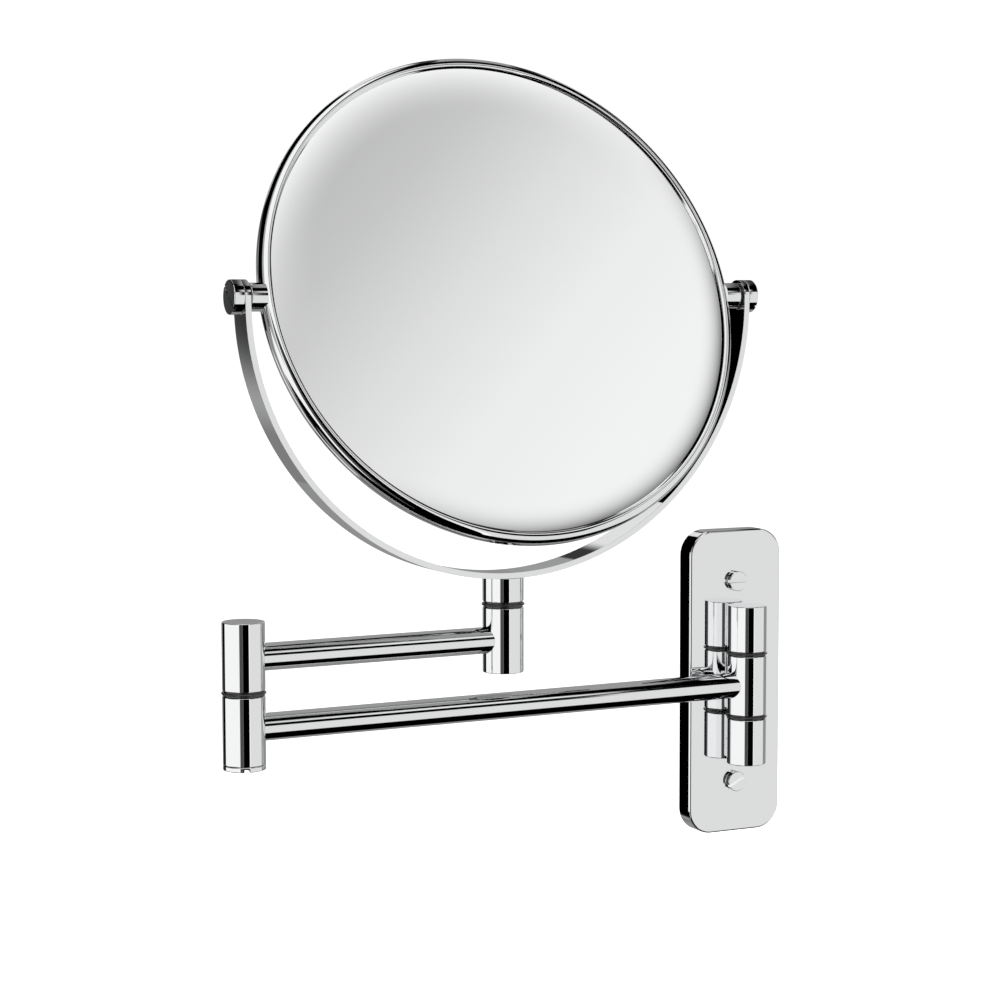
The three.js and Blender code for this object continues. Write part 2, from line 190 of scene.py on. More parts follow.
def rod_profile(radius, low, high, edge):
    return corner(radius - edge, low + edge, edge, -90) + corner(radius - edge, high - edge, edge, 0)


def modify(obj, kind, **settings):
    pick(obj)
    modifier = obj.modifiers.new(kind.title(), kind)
    for key, value in settings.items():
        setattr(modifier, key, value)
    bpy.ops.object.modifier_apply(modifier=modifier.name)


def combine(obj, tool, operation="DIFFERENCE"):
    modify(obj, "BOOLEAN", object=tool, operation=operation, solver="EXACT")
    mesh = tool.data
    bpy.data.objects.remove(tool)
    bpy.data.meshes.remove(mesh)
    clean(obj)


SHARP_TURN = math.radians(50)
SLOT_BREAK = 0.08 * MM


def break_edges(obj, width, segments):
    """Rounds every edge at which the surface turns sharply."""
    modify(obj, "BEVEL", width=width, segments=segments, limit_method="ANGLE", angle_limit=SHARP_TURN)


def saw_slot(obj, centre, size, turn):
    """Saws a screwdriver slot and breaks its sharp edges."""
    clear_selection()
    bpy.ops.mesh.primitive_cube_add(size=1, location=centre, rotation=turn)
    blade = bpy.context.object
    blade.scale = size
    combine(obj, settle(blade, "blade"))
    break_edges(obj, SLOT_BREAK, segments=2)


def hand_over(obj, body, finish, *nodes):
    """Gives a finished piece its metal and its body, and hides the CAD nodes that it stands for.

    Weighted normals keep the flats flat: without them a smooth edge would make a mirror look domed."""
    obj.data.materials.clear()
    obj.data.materials.append(finish)
    smooth(obj)
    modify(obj, "WEIGHTED_NORMAL", keep_sharp=True, weight=100)
    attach(obj, body)
    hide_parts(*nodes)
    print(obj.name, len(obj.data.polygons), "faces on", body)


# %% [markdown]
# ## Finishes
# Chrome is bright nickel and chromium over polished brass. It has no colour of its own and shows what is
# around it, so the little it does have matters: polishing leaves the roughness slightly uneven, the buffing
# wheel leaves very fine lines, and edges are rubbed a little duller by cloths and towels. All of this is made
# from noise on object coordinates, so it stays put when the mirror moves.


# %% Node helpers
def add(tree, kind, place, **values):
    node = tree.nodes.new(kind)
    node.location = place
    for key, value in values.items():
        if hasattr(node, key):
            setattr(node, key, value)
        else:
            node.inputs[key.replace("_", " ")].default_value = value
    return node


def blank_finish(name, slot, **shader):
    material = bpy.data.materials.new(name)
    material.use_nodes = True
    tree = material.node_tree
    tree.nodes.clear()
    output = add(tree, "ShaderNodeOutputMaterial", (600, 0))
    principled = add(tree, "ShaderNodeBsdfPrincipled", (300, 0))
    for key, value in shader.items():
        principled.inputs[key.replace("_", " ")].default_value = value
    tree.links.new(principled.outputs["BSDF"], output.inputs["Surface"])
    material["slot"] = slot
    return material, tree, principled


WHITE = (1, 1, 1, 1)
EVEN = (1, 1, 1)


def stretched_noise(tree, scale, stretch, detail, place):
    """Noise on object coordinates. A stretch under 1 along an axis draws it out that way."""
    where = add(tree, "ShaderNodeTexCoord", (place[0] - 400, place[1]))
    mapping = add(tree, "ShaderNodeMapping", (place[0] - 200, place[1]))
    mapping.inputs["Scale"].default_value = stretch
    noise = add(tree, "ShaderNodeTexNoise", place, Scale=scale, Detail=detail)
    tree.links.new(where.outputs["Object"], mapping.inputs["Vector"])
    tree.links.new(mapping.outputs["Vector"], noise.inputs["Vector"])
    return noise.outputs["Fac"]


def spread(tree, value, low, high, to_low, to_high, place):
    """Carries a value from the range low to high over to the range to_low to to_high, and holds it there."""
    ramp = add(tree, "ShaderNodeMapRange", place, clamp=True)
    for socket, number in zip(ramp.inputs[1:5], (low, high, to_low, to_high)):
        socket.default_value = number
    tree.links.new(value, ramp.inputs[0])
    return ramp.outputs[0]


def add_bump(tree, shader, relief, strength, depth):
    bump = add(tree, "ShaderNodeBump", (0, -300), Strength=strength, Distance=depth)
    tree.links.new(relief, bump.inputs["Height"])
    tree.links.new(bump.outputs["Normal"], shader.inputs["Normal"])


def calculate(tree, operation, a, b, place):
    node = add(tree, "ShaderNodeMath", place, operation=operation)
    for socket, value in zip(node.inputs, (a, b)):
        if isinstance(value, (int, float)):
            socket.default_value = value
        else:
            tree.links.new(value, socket)
    return node.outputs[0]


# %% Chrome
CHROME_DULL = 0.03


def chrome_finish(name, grain):
    """Polished chrome. grain stretches the buffing lines along the way that the wheel ran."""
    material, tree, shader = blank_finish(
        name, "polished_chrome", Base_Color=(0.9, 0.905, 0.91, 1), Metallic=1.0
    )
    patches = stretched_noise(tree, 90, EVEN, 3, (-900, 300))
    lines = stretched_noise(tree, 900, grain, 2, (-900, 0))
    edges = add(tree, "ShaderNodeNewGeometry", (-900, -300)).outputs["Pointiness"]
    soft = spread(tree, patches, 0.3, 0.75, CHROME_DULL * 0.5, CHROME_DULL, (-600, 300))
    fine = spread(tree, lines, 0.55, 0.8, 0.0, 0.02, (-600, 0))
    worn = spread(tree, edges, 0.52, 0.6, 0.0, 0.03, (-600, -300))
    rough = calculate(tree, "ADD", soft, fine, (-300, 200))
    rough = calculate(tree, "ADD", rough, worn, (-100, 100))
    tree.links.new(rough, shader.inputs["Roughness"])
    add_bump(tree, shader, lines, strength=0.02, depth=0.00002)
    return material


AROUND = (1, 1, 14)
ALONG_THE_ARMS = (0.06, 1, 1)
UP_AND_DOWN = (1, 1, 0.08)
turned_chrome = chrome_finish("turned_chrome", AROUND)
drawn_chrome = chrome_finish("drawn_chrome", ALONG_THE_ARMS)
flat_chrome = chrome_finish("flat_chrome", UP_AND_DOWN)
rim_chrome = chrome_finish("rim_chrome", EVEN)
print("chrome finishes:", [m.name for m in (turned_chrome, drawn_chrome, flat_chrome, rim_chrome)])


# %% Silvered glass, nylon, steel and foam
def silvered_glass_finish(name):
    material, tree, shader = blank_finish(
        name, "silvered_glass", Base_Color=(0.94, 0.945, 0.945, 1), Metallic=1.0
    )
    haze = stretched_noise(tree, 12, EVEN, 4, (-900, 100))
    dust = stretched_noise(tree, 700, EVEN, 2, (-900, -200))
    film = spread(tree, haze, 0.45, 0.8, 0.0, 0.02, (-600, 100))
    specks = spread(tree, dust, 0.74, 0.8, 0.0, 0.05, (-600, -200))
    rough = calculate(tree, "ADD", film, specks, (-300, 0))
    tree.links.new(rough, shader.inputs["Roughness"])
    return material


def plain_finish(name, slot, color, low, high, scale, grain=EVEN, metallic=0.0, relief=0.0001):
    material, tree, shader = blank_finish(name, slot, Base_Color=color, Metallic=metallic)
    noise = stretched_noise(tree, scale, grain, 4, (-900, 0))
    rough = spread(tree, noise, 0.3, 0.7, low, high, (-600, 100))
    tree.links.new(rough, shader.inputs["Roughness"])
    add_bump(tree, shader, noise, strength=0.3, depth=relief)
    return material


silvered_glass = silvered_glass_finish("silvered_glass")
dark_nylon = plain_finish("dark_nylon", "dark_nylon", (0.01, 0.01, 0.0105, 1), 0.14, 0.24, 600)
dark_nylon.node_tree.nodes["Principled BSDF"].inputs["Specular IOR Level"].default_value = 1.0
plain_steel = plain_finish(
    "plain_steel", "plain_steel", (0.55, 0.56, 0.58, 1), 0.25, 0.42, 300, (1, 1, 0.05), 1.0, 0.00003
)
grey_foam = plain_finish("grey_foam", "grey_foam", (0.12, 0.12, 0.125, 1), 0.8, 0.95, 900)
print("other finishes:", silvered_glass.name, dark_nylon.name, plain_steel.name, grey_foam.name)

# %% [markdown]
# ## The hinge columns
# Each column is a stack of turned barrels on one steel pin, with a thin nylon washer in every joint. A barrel
# is bored for the pin and blind at its closed end, so its profile starts at the bottom of the bore, comes out
# of the open end, runs along the outside and ends on the closed face. A washer is a ring with a round bead
# that stands just proud of the barrels.

# %% Barrels
BARREL_EDGE = 0.35 * MM
BORE_DEPTH = 3 * MM
STUD_RADIUS = 3.2 * MM
STUD_EDGE = 0.2 * MM
STUD_START = 4 * MM  # from the hinge axis, inside the solid barrel
STUD_CLEARANCE = 1 * MM  # between the stud's end and the wall


def blind_barrel(low, high, open_at_bottom):
    outside = rod_profile(barrel_radius, low, high, BARREL_EDGE)
    if open_at_bottom:
        return [(bore_radius, high - BORE_DEPTH), (bore_radius, low)] + outside
    return [(bore_radius, low + BORE_DEPTH), (bore_radius, high)] + outside[::-1]


def through_barrel(low, high):
    return [(bore_radius, high), (bore_radius, low)] + rod_profile(barrel_radius, low, high, BARREL_EDGE)


def on_column(axis):
    return (axis.x, axis.y, 0)


def add_stud(barrel, z):
    """The stud that carries a fixed barrel, from the barrel to the bracket inside the wall plate."""
    reach = -wall_axis.y - STUD_CLEARANCE
    profile = rod_profile(STUD_RADIUS, -reach, -STUD_START, STUD_EDGE)
    rod = lathe("stud", profile, (wall_axis.x, wall_axis.y, z), "Y")
    combine(barrel, rod, "UNION")


for node, open_at_bottom in (("upper_wall_barrel", True), ("lower_wall_barrel", False)):
    low, high = heights(node)
    barrel = lathe(node + "_turned", blind_barrel(low, high, open_at_bottom), on_column(wall_axis))
    add_stud(barrel, (low + high) / 2)
    hand_over(barrel, "wall_unit", turned_chrome, node)

for node, body, axis in (
    ("wall_arm_barrel", "lower_arm", wall_axis),
    ("elbow_lower_barrel", "lower_arm", elbow_axis),
):
    barrel = lathe(node + "_turned", through_barrel(*heights(node)), on_column(axis))
    hand_over(barrel, body, turned_chrome, node)

for node, axis, open_at_bottom in (
    ("elbow_upper_barrel", elbow_axis, True),
    ("swivel_barrel", swivel_axis, False),
):
    low, high = heights(node)
    barrel = lathe(node + "_turned", blind_barrel(low, high, open_at_bottom), on_column(axis))
    hand_over(barrel, "upper_arm", turned_chrome, node)


# %% Washers
WASHER_NECK = 0.5 * MM  # how far the shadow gaps go in
WASHER_BEAD = 0.38 * MM  # how far the bead stands out


def washer_profile(low, high):
    """A bearing washer whose rim is a round bead between two shadow gaps."""
    gap = (high - low) / 4
    neck = barrel_radius - WASHER_NECK
    bead = rod_profile(barrel_radius + WASHER_BEAD, low + gap, high - gap, gap * 0.9)
    return [(bore_radius, high), (bore_radius, low), (neck, low), (neck, low + gap)] + bead + [
        (neck, high - gap),
        (neck, high),
    ]


for node, body, axis in (
    ("upper_wall_washer", "wall_unit", wall_axis),
    ("lower_wall_washer", "wall_unit", wall_axis),
    ("elbow_washer", "lower_arm", elbow_axis),
    ("swivel_washer", "upper_arm", swivel_axis),
):
    ring = lathe(node + "_turned", washer_profile(*heights(node)), on_column(axis), ring=True)
    hand_over(ring, body, dark_nylon, node)

# %% [markdown]
# ## The elbow's end cap
# A slotted plug closes the bottom of the elbow. It is a short disc with a spigot, screwed up into the lower
# barrel, and its slot is wide enough for a coin.

# %% End cap
CAP_GAP = 0.1 * MM
SPIGOT_RADIUS = 4.9 * MM
COIN_SLOT_WIDTH = 2.2 * MM
COIN_BLADE = 2.4 * MM  # half of the blade's height goes into the cap
COIN_SLOT_TURN = math.radians(-12)

cap_low, cap_top = heights("elbow_end_cap")
cap_seat = heights("elbow_lower_barrel")[0] - CAP_GAP
cap_profile = rod_profile(barrel_radius, cap_low, cap_seat, BARREL_EDGE)
cap_profile += [(SPIGOT_RADIUS, cap_seat), (SPIGOT_RADIUS, cap_top)]
end_cap = lathe("elbow_end_cap_turned", cap_profile, on_column(elbow_axis))
saw_slot(
    end_cap,
    (elbow_axis.x, elbow_axis.y, cap_low),
    (COIN_SLOT_WIDTH, barrel_radius * 3, COIN_BLADE),
    (0, 0, COIN_SLOT_TURN),
)
hand_over(end_cap, "lower_arm", turned_chrome, "elbow_end_cap")

# %% [markdown]
# ## The arms
# Each arm is a drawn tube, coped at both ends to sit tight against the round barrels. The tube is turned
# from a ring profile lying along X, and the cope is cut by a cylinder as big as the barrel, the way a hole
# saw cuts it in the workshop.

# %% Tubes
tube_low, tube_high = heights("upper_arm_tube")
TUBE_RADIUS = (tube_high - tube_low) / 2
TUBE_WALL = 1.2 * MM
COPE_GAP = 0.04 * MM
SAW_REACH = 20 * MM  # half the length of a cutting cylinder


def arm_tube(name, start, length, z):
    bore = TUBE_RADIUS - TUBE_WALL
    saw_radius = barrel_radius + COPE_GAP
    profile = [(bore, 0), (TUBE_RADIUS, 0), (TUBE_RADIUS, length), (bore, length)]
    tube = lathe(name, profile, axis="X", ring=True)
    for end in (0, length):
        saw = lathe("hole_saw", [(saw_radius, -SAW_REACH), (saw_radius, SAW_REACH)], (end, 0, 0))
        combine(tube, saw)
    tube.location = (start.x, start.y, z)
    tube.rotation_euler = (0, 0, arm_turn)
    return settle(tube, name)


for node, body, end_axis in (
    ("lower_arm_tube", "lower_arm", wall_axis),
    ("upper_arm_tube", "upper_arm", swivel_axis),
):
    z = middle(node).z
    length = math.hypot(end_axis.x - elbow_axis.x, end_axis.y - elbow_axis.y)
    tube = arm_tube(node + "_drawn", elbow_axis, length, z)
    hand_over(tube, body, drawn_chrome, node)
    print("  length between columns", round(length / MM, 1), "mm")

# %% [markdown]
# ## The wall plate
# The plate is a pressed and polished cover with round corners and a narrow bevel along its front edge, open
# at the back over a steel bracket. It starts as a cube. The four edges that run from front to back get a
# large round bevel, the front edge a small one, and the back is inset and pushed in to leave a wall.


# %% Wall plate
def choose(obj, what, test):
    """Selects the vertices, edges or faces whose corners all pass the test, and stays in edit mode."""
    pick(obj)
    bpy.ops.object.mode_set(mode="EDIT")
    bpy.ops.mesh.select_all(action="DESELECT")
    bpy.ops.mesh.select_mode(type=what)
    bpy.ops.object.mode_set(mode="OBJECT")
    mesh = obj.data
    items = {"VERT": mesh.vertices, "EDGE": mesh.edges, "FACE": mesh.polygons}[what]
    for item in items:
        if what == "VERT":
            spots = [item.co]
        else:
            spots = [mesh.vertices[i].co for i in item.vertices]
        item.select = all(test(spot) for spot in spots)
    bpy.ops.object.mode_set(mode="EDIT")


plate_low, plate_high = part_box("wall_plate")
PLATE_CORNER = 11 * MM
PLATE_BEVEL = 1.05 * MM
PLATE_WALL = 2 * MM
PLATE_POCKET = 6.5 * MM

clear_selection()
bpy.ops.mesh.primitive_cube_add(size=1, location=(plate_low + plate_high) / 2)
plate = bpy.context.object
plate.scale = plate_high - plate_low
settle(plate, "wall_plate_pressed")
choose(plate, "EDGE", lambda p: False)
bpy.ops.object.mode_set(mode="OBJECT")
for edge in plate.data.edges:
    a, b = (plate.data.vertices[i].co for i in edge.vertices)
    edge.select = abs(a.y - b.y) > NEAR
bpy.ops.object.mode_set(mode="EDIT")
bpy.ops.mesh.bevel(offset=PLATE_CORNER, segments=20, affect="EDGES")
choose(plate, "FACE", lambda p: p.y < plate_low.y + NEAR)
bpy.ops.mesh.region_to_loop()
bpy.ops.mesh.bevel(offset=PLATE_BEVEL, segments=6, affect="EDGES", profile=0.55)
choose(plate, "FACE", lambda p: p.y > plate_high.y - NEAR)
bpy.ops.mesh.inset(thickness=PLATE_WALL)
bpy.ops.mesh.extrude_region_move(TRANSFORM_OT_translate={"value": (0, -PLATE_POCKET, 0)})
bpy.ops.object.mode_set(mode="OBJECT")
clean(plate)
hand_over(plate, "wall_unit", flat_chrome, "wall_plate")

# %% [markdown]
# ## The plate's screws
# Two slotted cheese-head screws hold the cover to the bracket. A cheese head is a short cylinder with a
# barely rounded edge. Nobody lines the slots up, so one lies level and the other at an angle.


# %% Plate screws
SEAT_GAP = 0.05 * MM
HEAD_EDGE = 0.3 * MM
SHANK_RADIUS = 2 * MM
SCREW_BLADE = 2.6 * MM  # half of the blade's depth goes into the head
SCREW_SLOT_WIDTH = 1.2 * MM


def plate_screw(node, slot_turn):
    low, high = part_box(node)
    at = (low + high) / 2
    head_radius = radius_of(node)
    face, seat = low.y, plate_low.y - SEAT_GAP
    head = rod_profile(head_radius, -seat, -face, HEAD_EDGE)
    shank = [(SHANK_RADIUS, -high.y), (SHANK_RADIUS, -seat)]
    screw = lathe(node + "_turned", shank + head, (at.x, 0, at.z), "Y", 64)
    saw_slot(
        screw,
        (at.x, face, at.z),
        (head_radius * 3, SCREW_BLADE, SCREW_SLOT_WIDTH),
        (0, math.radians(-slot_turn), 0),
    )
    hand_over(screw, "wall_unit", turned_chrome, node)


plate_screw("upper_plate_screw", 0)
plate_screw("lower_plate_screw", 25)

# %% [markdown]
# ## The yoke
# The yoke is a flat chromed strip, bent to half a circle, with round ends that carry the tilt pivots. It
# starts as half of a circle of edges, pulled out to the strip's width. The ends go on upwards in
# small steps that get narrower, which draws the round ends, and then the strip gets its thickness and soft
# edges.

# %% Yoke strip
yoke_low, yoke_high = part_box("yoke_strip")
YOKE_THICK = 2.4 * MM
YOKE_EDGE = 0.3 * MM
END_STEPS = 14
END_SHARE = 0.985  # the round ends stop just short of closing to a point
PIVOT_HOLE = 2.5 * MM
DRILL_IN, DRILL_OUT = 6 * MM, 3 * MM
yoke_radius = radius_of("yoke_strip")
strip_width = yoke_high.y - yoke_low.y
middle_radius = yoke_radius - YOKE_THICK / 2
straight = pivot.z - yoke_low.z - yoke_radius
yoke_centre = pivot - Vector((0, 0, straight))
print("yoke radius", round(yoke_radius / MM, 1), "mm, straight ends", round(straight / MM, 1), "mm")

clear_selection()
bpy.ops.mesh.primitive_circle_add(vertices=256, radius=middle_radius, rotation=(math.pi / 2, 0, 0))
strip = bpy.context.object
settle(strip, "yoke_strip_bent")
choose(strip, "VERT", lambda p: p.z > NEAR)
bpy.ops.mesh.delete(type="VERT")
bpy.ops.mesh.select_all(action="SELECT")
bpy.ops.transform.translate(value=(0, -strip_width / 2, 0))
bpy.ops.mesh.extrude_region_move(TRANSFORM_OT_translate={"value": (0, strip_width, 0)})
choose(strip, "VERT", lambda p: p.z > -NEAR)
bpy.ops.mesh.extrude_region_move(TRANSFORM_OT_translate={"value": (0, 0, straight)})
half_width = strip_width / 2
width, height = half_width, 0.0
for i in range(1, END_STEPS + 1):
    angle = math.pi / 2 * i / END_STEPS * END_SHARE
    new_width, new_height = half_width * math.cos(angle), half_width * math.sin(angle)
    bpy.ops.mesh.extrude_region_move(TRANSFORM_OT_translate={"value": (0, 0, new_height - height)})
    bpy.ops.transform.resize(value=(1, new_width / width, 1), center_override=(0, 0, 0))
    width, height = new_width, new_height
bpy.ops.object.mode_set(mode="OBJECT")
clean(strip)
modify(strip, "SOLIDIFY", thickness=YOKE_THICK, offset=0, use_even_offset=True)
break_edges(strip, YOKE_EDGE, segments=3)
strip.location = yoke_centre
settle(strip, "yoke_strip_bent")
for side in (-1, 1):
    inner, outer = (yoke_radius - DRILL_IN) * side, (yoke_radius + DRILL_OUT) * side
    drill = lathe("drill", [(PIVOT_HOLE, inner), (PIVOT_HOLE, outer)], pivot, "X", 48)
    combine(strip, drill)
hand_over(strip, "yoke", drawn_chrome, "yoke_strip")

# %% Yoke barrel
YOKE_BARREL_TOP = 5 * MM  # solid metal left above the bore
SADDLE_STOCK = 1 * MM  # extra height that the saddle cut takes away
SADDLE_GAP = 0.03 * MM

low, high = heights("yoke_barrel")
yoke_barrel = lathe(
    "yoke_barrel_turned",
    [(bore_radius, high - YOKE_BARREL_TOP), (bore_radius, low)]
    + corner(barrel_radius - BARREL_EDGE, low + BARREL_EDGE, BARREL_EDGE, -90)
    + [(barrel_radius, high + SADDLE_STOCK)],
    on_column(swivel_axis),
)
saddle_radius = yoke_radius + SADDLE_GAP
saddle_profile = [(saddle_radius, -SAW_REACH), (saddle_radius, SAW_REACH)]
saddle = lathe("saddle", saddle_profile, yoke_centre, "Y", 512)
combine(yoke_barrel, saddle)
hand_over(yoke_barrel, "yoke", turned_chrome, "yoke_barrel")

# %% [markdown]
# ## The tilt pivots
# On each side a slotted knob goes through the end of the yoke and a thin washer, into a short round boss on
# the mirror's rim. Tightening the knobs sets how stiffly the mirror tilts.


# %% Knobs, washers and bosses
RIM_HALF = 4.2 * MM
RIM_EDGE = 3 * MM
KNOB_GAP = 0.02 * MM
KNOB_SHANK = 2.45 * MM
KNOB_EDGE = 0.35 * MM
KNOB_BLADE = 2.2 * MM  # half of the blade's depth goes into the knob
KNOB_SLOT_WIDTH = 1.1 * MM
KNOB_SLOT_TURN = math.radians(40)
FRICTION_EDGE = 0.2 * MM
BOSS_EDGE = 0.3 * MM
BOSS_OVERLAP = 1.6 * MM
BOSS_GAP = 0.02 * MM


def side_reach(node):
    """Where a piece on the tilt axis starts and ends, measured from the yoke's middle, and its radius."""
    low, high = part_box(node)
    near, far = sorted((abs(low.x - pivot.x), abs(high.x - pivot.x)))
    return near, far, (high.z - low.z) / 2


def to_side(profile, side):
    return [(radius, height * side) for radius, height in profile]


def tilted(obj, name):
    obj.location = pivot
    obj.rotation_euler = (mirror_tilt, 0, 0)
    return settle(obj, name)


def pivot_set(side, word):
    shank, face, radius = side_reach(word + "_pivot_knob")
    seat = yoke_radius + KNOB_GAP
    profile = [(KNOB_SHANK, shank), (KNOB_SHANK, seat)] + rod_profile(radius, seat, face, KNOB_EDGE)
    knob = lathe(word + "_pivot_knob_turned", to_side(profile, side), pivot, "X")
    saw_slot(
        knob,
        (pivot.x + face * side, pivot.y, pivot.z),
        (KNOB_BLADE, radius * 3, KNOB_SLOT_WIDTH),
        (KNOB_SLOT_TURN, 0, 0),
    )
    hand_over(knob, "yoke", turned_chrome, word + "_pivot_knob")

    near, far, radius = side_reach(word + "_friction_washer")
    profile = [(PIVOT_HOLE, far), (PIVOT_HOLE, near)] + rod_profile(radius, near, far, FRICTION_EDGE)
    ring = lathe(word + "_friction_washer_cut", to_side(profile, side), pivot, "X", 64, ring=True)
    hand_over(ring, "yoke", dark_nylon, word + "_friction_washer")

    _, far, radius = side_reach(word + "_pivot_boss")
    profile = [(radius, rim_radius - BOSS_OVERLAP)]
    profile += corner(radius - BOSS_EDGE, far - BOSS_EDGE, BOSS_EDGE, 0)
    boss = lathe(word + "_pivot_boss_turned", to_side(profile, side), pivot, "X")
    half = corner(rim_radius - RIM_EDGE + BOSS_GAP, RIM_HALF - RIM_EDGE + BOSS_GAP, RIM_EDGE, 0, 10)
    section = to_side(half[::-1], -1) + half
    rim_curve = lathe("rim_curve", section, axis="Y", steps=512)
    combine(boss, tilted(rim_curve, "rim_curve"))
    hand_over(boss, "mirror", turned_chrome, word + "_pivot_boss")


rim_radius = radius_of("front_bezel")
front_faces = [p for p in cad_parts["plain_glass"].data.polygons if p.normal.y < -0.5]
glass_normal = max(front_faces, key=lambda p: p.area).normal
mirror_tilt = -math.atan2(glass_normal.z, -glass_normal.y)
print("rim radius", round(rim_radius / MM, 1), "mm, tilt", round(math.degrees(mirror_tilt), 1), "degrees")
pivot_set(1, "right")
pivot_set(-1, "left")

# %% [markdown]
# ## The mirror
# The rim is two chromed rings that close on the glasses from both sides. Each ring has a steep inner slope
# down to the glass, a soft crown and a rounded outer edge, and a fine dark line runs around the side where
# the two rings meet. The front glass is flat. The back one is slightly dished, which makes it magnify.


# %% Rim, glass and magnifier
GLASS_FACE = 2.6 * MM
GLASS_THICK = 1.2 * MM
GLASS_EDGE = 0.15 * MM
GLASS_INSET = 2.6 * MM  # from the rim's outside to the edge of the glass
SEEN_INSET = 4.9 * MM  # from the rim's outside to the edge of the glass that shows
POCKET_GAP = 0.15 * MM
LIP_GAP = 0.08 * MM
INNER_EDGE = 1.2 * MM
CROWN_INSET = 1.5 * MM
PARTING_LINE = 0.12 * MM  # half the width of the dark line between the rings
PARTING_MOUTH = 0.32 * MM
PARTING_DEPTH = 0.2 * MM
glass_radius = rim_radius - GLASS_INSET
seen_radius = rim_radius - SEEN_INSET


def bezel_profile(side):
    pocket = glass_radius + POCKET_GAP
    lip = GLASS_FACE + LIP_GAP
    outside = corner(rim_radius - RIM_EDGE, RIM_HALF - RIM_EDGE, RIM_EDGE, 0, 10)
    inside = corner(seen_radius + CROWN_INSET, RIM_HALF - INNER_EDGE, INNER_EDGE, 90, 6)[:6]
    points = [(pocket, PARTING_LINE), (rim_radius - PARTING_DEPTH, PARTING_LINE)]
    points += [(rim_radius, PARTING_MOUTH)] + outside + inside
    points += [(seen_radius + 0.1 * MM, lip + 0.2 * MM), (seen_radius, lip), (pocket, lip)]
    return to_side(points, side)


for side, node in ((1, "front_bezel"), (-1, "rear_bezel")):
    ring = lathe(node + "_turned", bezel_profile(side), axis="Y", steps=256, ring=True)
    hand_over(tilted(ring, node + "_turned"), "mirror", rim_chrome, node)

plain = lathe(
    "plain_glass_cut",
    rod_profile(glass_radius, GLASS_FACE - GLASS_THICK, GLASS_FACE, GLASS_EDGE),
    axis="Y", steps=256,
)
hand_over(tilted(plain, "plain_glass_cut"), "mirror", silvered_glass, "plain_glass")

SAG = 2.3 * MM
DISH_STEPS = 24


def dish(radius, rim_height):
    return rim_height + SAG * (1 - (radius / glass_radius) ** 2)


radii = [glass_radius * i / DISH_STEPS for i in range(1, DISH_STEPS + 1)]
face = [(r, dish(r, -GLASS_FACE)) for r in radii]
back = [(r, dish(r, GLASS_THICK - GLASS_FACE)) for r in radii]
magnifier = lathe("magnifying_glass_ground", face + back[::-1], axis="Y", steps=256)
hand_over(tilted(magnifier, "magnifying_glass_ground"), "mirror", silvered_glass, "magnifying_glass")

# %% [markdown]
# ## Pieces that stay as they were
# The bracket's back shows flush inside the plate, and the pins and the spacer are inside. Their CAD shapes
# are right as they are, so they only need a finish.

# %% Finishes for the carried-over pieces
for node, finish in (
    ("mounting_bracket", plain_steel),
    ("wall_hinge_pin", plain_steel),
    ("elbow_pin", plain_steel),
    ("swivel_pin", plain_steel),
    ("glass_spacer", grey_foam),
):
    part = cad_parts[node]
    part.data.materials.clear()
    part.data.materials.append(finish)
    print(node, "finished in", finish.name)

# %% [markdown]
# ## The studio
# Chrome is best shown in a white tent with a few dark cards, because the cards draw the crisp dark lines that
# make it read as metal. Here the tent is the world's background, described by direction: an azimuth measured
# from the front towards the right, a height above the horizon, and a roll about the wall's long axis. The
# upright barrels show only what is near the horizon, so the main cards are upright strips. Other regions lay
# cards of their own over them: higher up, overhead, off to the right for the level tubes and the knobs, and
# low down for the undersides. Camera rays and diffuse rays see plain white.


# %% Tent
def world_band(tree, value, low, high, soft, place):
    """1 between low and high, in degrees, with soft edges."""
    rise = add(tree, "ShaderNodeMapRange", place, interpolation_type="SMOOTHSTEP")
    fall = add(tree, "ShaderNodeMapRange", (place[0], place[1] - 260), interpolation_type="SMOOTHSTEP")
    for node, edge, start, end in ((rise, low, 0, 1), (fall, high, 1, 0)):
        numbers = (math.radians(edge - soft), math.radians(edge + soft), start, end)
        for socket, number in zip(node.inputs[1:5], numbers):
            socket.default_value = number
        tree.links.new(value, node.inputs[0])
    return calculate(tree, "MULTIPLY", rise.outputs[0], fall.outputs[0], (place[0] + 200, place[1]))


world = bpy.data.worlds.new("studio_tent")
bpy.context.scene.world = world
world.use_nodes = True
tree = world.node_tree
tree.nodes.clear()
direction = add(tree, "ShaderNodeTexCoord", (-1800, 0)).outputs["Generated"]
split = add(tree, "ShaderNodeSeparateXYZ", (-1600, 0))
tree.links.new(direction, split.inputs[0])
x, y, z = split.outputs
front = calculate(tree, "MULTIPLY", y, -1.0, (-1400, -100))
azimuth = calculate(tree, "ARCTAN2", x, front, (-1200, 100))
height = calculate(tree, "ARCSINE", z, 0.0, (-1200, -100))
roll = calculate(tree, "ARCTAN2", z, front, (-1200, -300))

level = add(tree, "ShaderNodeValue", (-1000, 300)).outputs[0]
level.default_value = 1.0
CARDS = (
    # measured by, from, to and softness in degrees, and brightness
    ("azimuth", -41, -23, 1.0, 0.075),
    ("azimuth", -23, 9.7, 0.6, 0.0),
    ("azimuth", 9.7, 13, 0.6, 1.1),
    ("azimuth", 13, 84.7, 0.6, 0.79),
    ("azimuth", 84.7, 190, 1.5, 0.29),
    ("azimuth", -190, -165, 6.0, 0.22),
    ("azimuth", -165, -152, 5.0, 0.03),
    ("azimuth", -157, -135, 1.5, 0.0),
)
UPPER_CARDS = (
    ("azimuth", -190, -80, 2.0, 0.0),
    ("azimuth", -80, -52, 2.0, 0.4),
    ("azimuth", 58, 112, 2.0, 0.0),
    ("azimuth", 112, 190, 2.0, 0.8),
)
TOP_CARDS = (("azimuth", -52, 58, 2.0, 1.0),)
